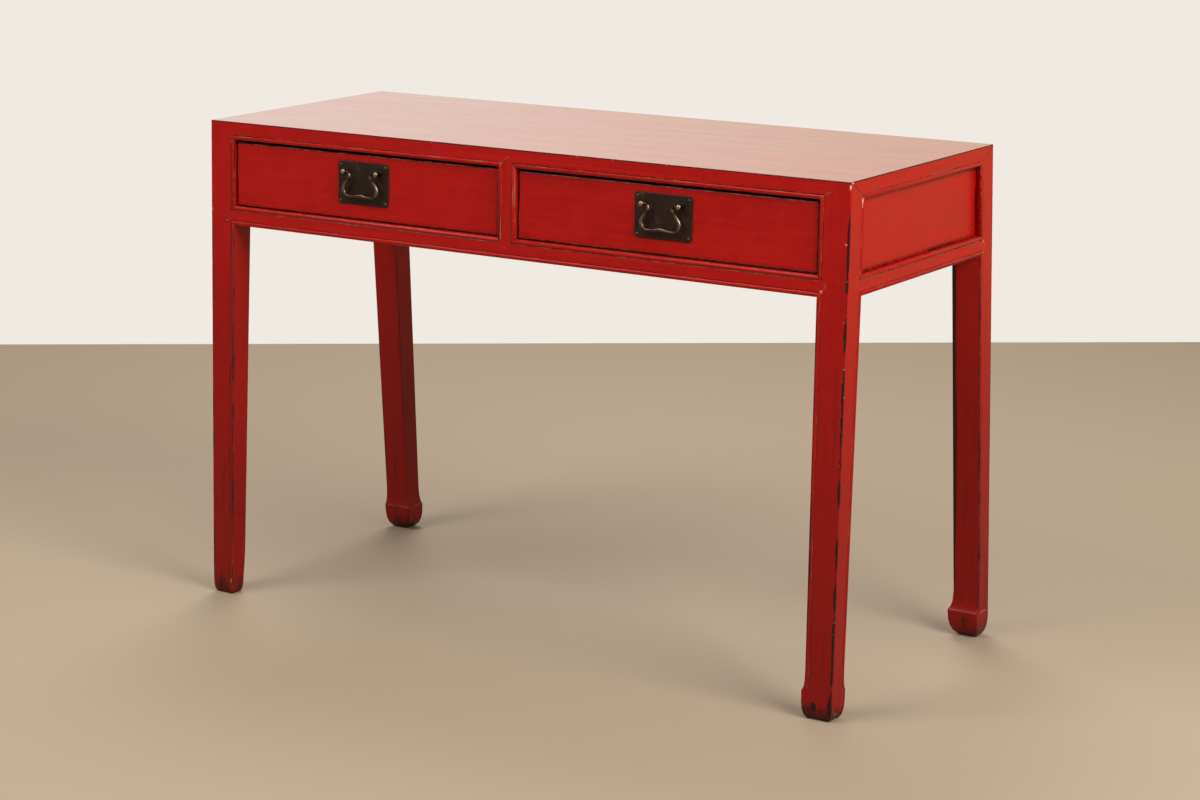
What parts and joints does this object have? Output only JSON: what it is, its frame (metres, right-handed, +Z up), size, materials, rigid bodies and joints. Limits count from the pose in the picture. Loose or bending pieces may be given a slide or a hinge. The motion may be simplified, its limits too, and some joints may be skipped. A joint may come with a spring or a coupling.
{
  "type": "console table",
  "caption": "Lacquered wood console table with hoof feet, mitred flush frame, side-by-side drawers and swinging bail pulls.",
  "frame": {"origin": "on the floor, at the middle of the table", "axes": "+X along the length, to the right seen from the drawers; -Y out of the drawers; +Z up"},
  "size_m": [1.2026, 0.5173, 0.8],
  "materials": {
    "red_lacquer": "gloss red lacquer, worn",
    "bare_wood": "unfinished softwood",
    "dark_plate": "dark patina",
    "grey_nails": "dull",
    "gilt_brass": "rubbed, aged"
  },
  "bodies": {
    "frame": {"front_left_leg": "red_lacquer", "front_right_leg": "red_lacquer", "rear_left_leg": "red_lacquer", "rear_right_leg": "red_lacquer", "top_front_rail": "red_lacquer", "top_rear_rail": "red_lacquer", "top_left_rail": "red_lacquer", "top_right_rail": "red_lacquer", "top_panel": "red_lacquer", "top_batten_1": "bare_wood", "top_batten_2": "bare_wood", "top_batten_3": "bare_wood", "top_batten_4": "bare_wood", "lower_front_rail": "red_lacquer", "lower_rear_rail": "red_lacquer", "lower_left_rail": "red_lacquer", "lower_right_rail": "red_lacquer", "front_centre_stile": "red_lacquer", "rear_centre_stile": "red_lacquer", "left_side_panel": "red_lacquer", "right_side_panel": "red_lacquer", "rear_left_panel": "red_lacquer", "rear_right_panel": "red_lacquer", "left_runner": "bare_wood", "right_runner": "bare_wood", "centre_runner": "bare_wood", "drawer_stops": "bare_wood"},
    "left_drawer": {"left_drawer_front": "red_lacquer", "left_drawer_outer_side": "bare_wood", "left_drawer_inner_side": "bare_wood", "left_drawer_back": "bare_wood", "left_drawer_bottom": "bare_wood", "left_pull_plate": "dark_plate", "left_plate_nails": "grey_nails", "left_pull_posts": "gilt_brass"},
    "left_bail": {"left_bail": "gilt_brass"},
    "right_drawer": {"right_drawer_front": "red_lacquer", "right_drawer_outer_side": "bare_wood", "right_drawer_inner_side": "bare_wood", "right_drawer_back": "bare_wood", "right_drawer_bottom": "bare_wood", "right_pull_plate": "dark_plate", "right_plate_nails": "grey_nails", "right_pull_posts": "gilt_brass"},
    "right_bail": {"right_bail": "gilt_brass"}
  },
  "joints": [
    {"name": "left_drawer_slide", "type": "slide", "parent": "frame", "child": "left_drawer", "axis": [0, -1, 0], "range_m": [0, 0.28]},
    {"name": "left_bail_swing", "type": "hinge", "parent": "left_drawer", "child": "left_bail", "pos_m": [-0.28325, -0.23314, 0.73968], "axis": [-1, 0, 0], "range_deg": [-6, 178]},
    {"name": "right_drawer_slide", "type": "slide", "parent": "frame", "child": "right_drawer", "axis": [0, -1, 0], "range_m": [0, 0.28]},
    {"name": "right_bail_swing", "type": "hinge", "parent": "right_drawer", "child": "right_bail", "pos_m": [0.28325, -0.23314, 0.73968], "axis": [-1, 0, 0], "range_deg": [-6, 178]}
  ]
}
